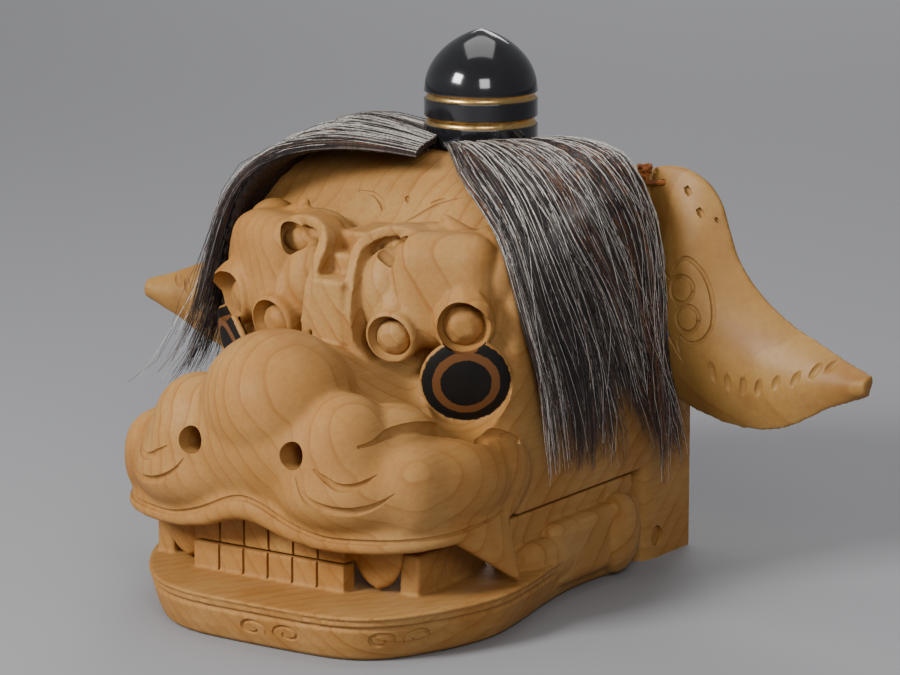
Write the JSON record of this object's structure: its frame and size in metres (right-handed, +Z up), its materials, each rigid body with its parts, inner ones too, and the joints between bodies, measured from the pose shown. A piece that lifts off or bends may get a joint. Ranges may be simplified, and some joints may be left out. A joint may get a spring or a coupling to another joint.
{
  "type": "lion dance mask",
  "caption": "Carved wooden lion dance mask with a hinged lower jaw, lashed leaf-shaped ears, a lacquered onion finial and a horsehair mane.",
  "frame": {"origin": "middle of the whole mask's box, on the surface that it stands on", "axes": "+Z up, the face looks along -Y, +X towards the lion's left ear"},
  "size_m": [0.536, 0.345, 0.3254],
  "materials": {
    "honey_wood": "plain light wood, hand carved, with diagonal grain",
    "polished_wood": "golden wood, polished smooth",
    "orange_cord": "twisted orange cotton cord",
    "black_lacquer": "gloss black lacquer with gilded grooves",
    "horsehair": "coarse dark hair with grey and white strands"
  },
  "bodies": {
    "head": {"head": "honey_wood", "jaw_axle": "honey_wood", "ear_left": "polished_wood", "ear_right": "polished_wood", "ear_tie_left": "orange_cord", "ear_tie_right": "orange_cord", "finial": "black_lacquer", "mane_left": "horsehair", "mane_right": "horsehair"},
    "jaw": {"lower_jaw": "honey_wood"}
  },
  "joints": [
    {"name": "jaw_hinge", "type": "hinge", "parent": "head", "child": "jaw", "pos_m": [0, 0.1335, 0.014], "axis": [1, 0, 0], "range_deg": [0, 25]}
  ]
}
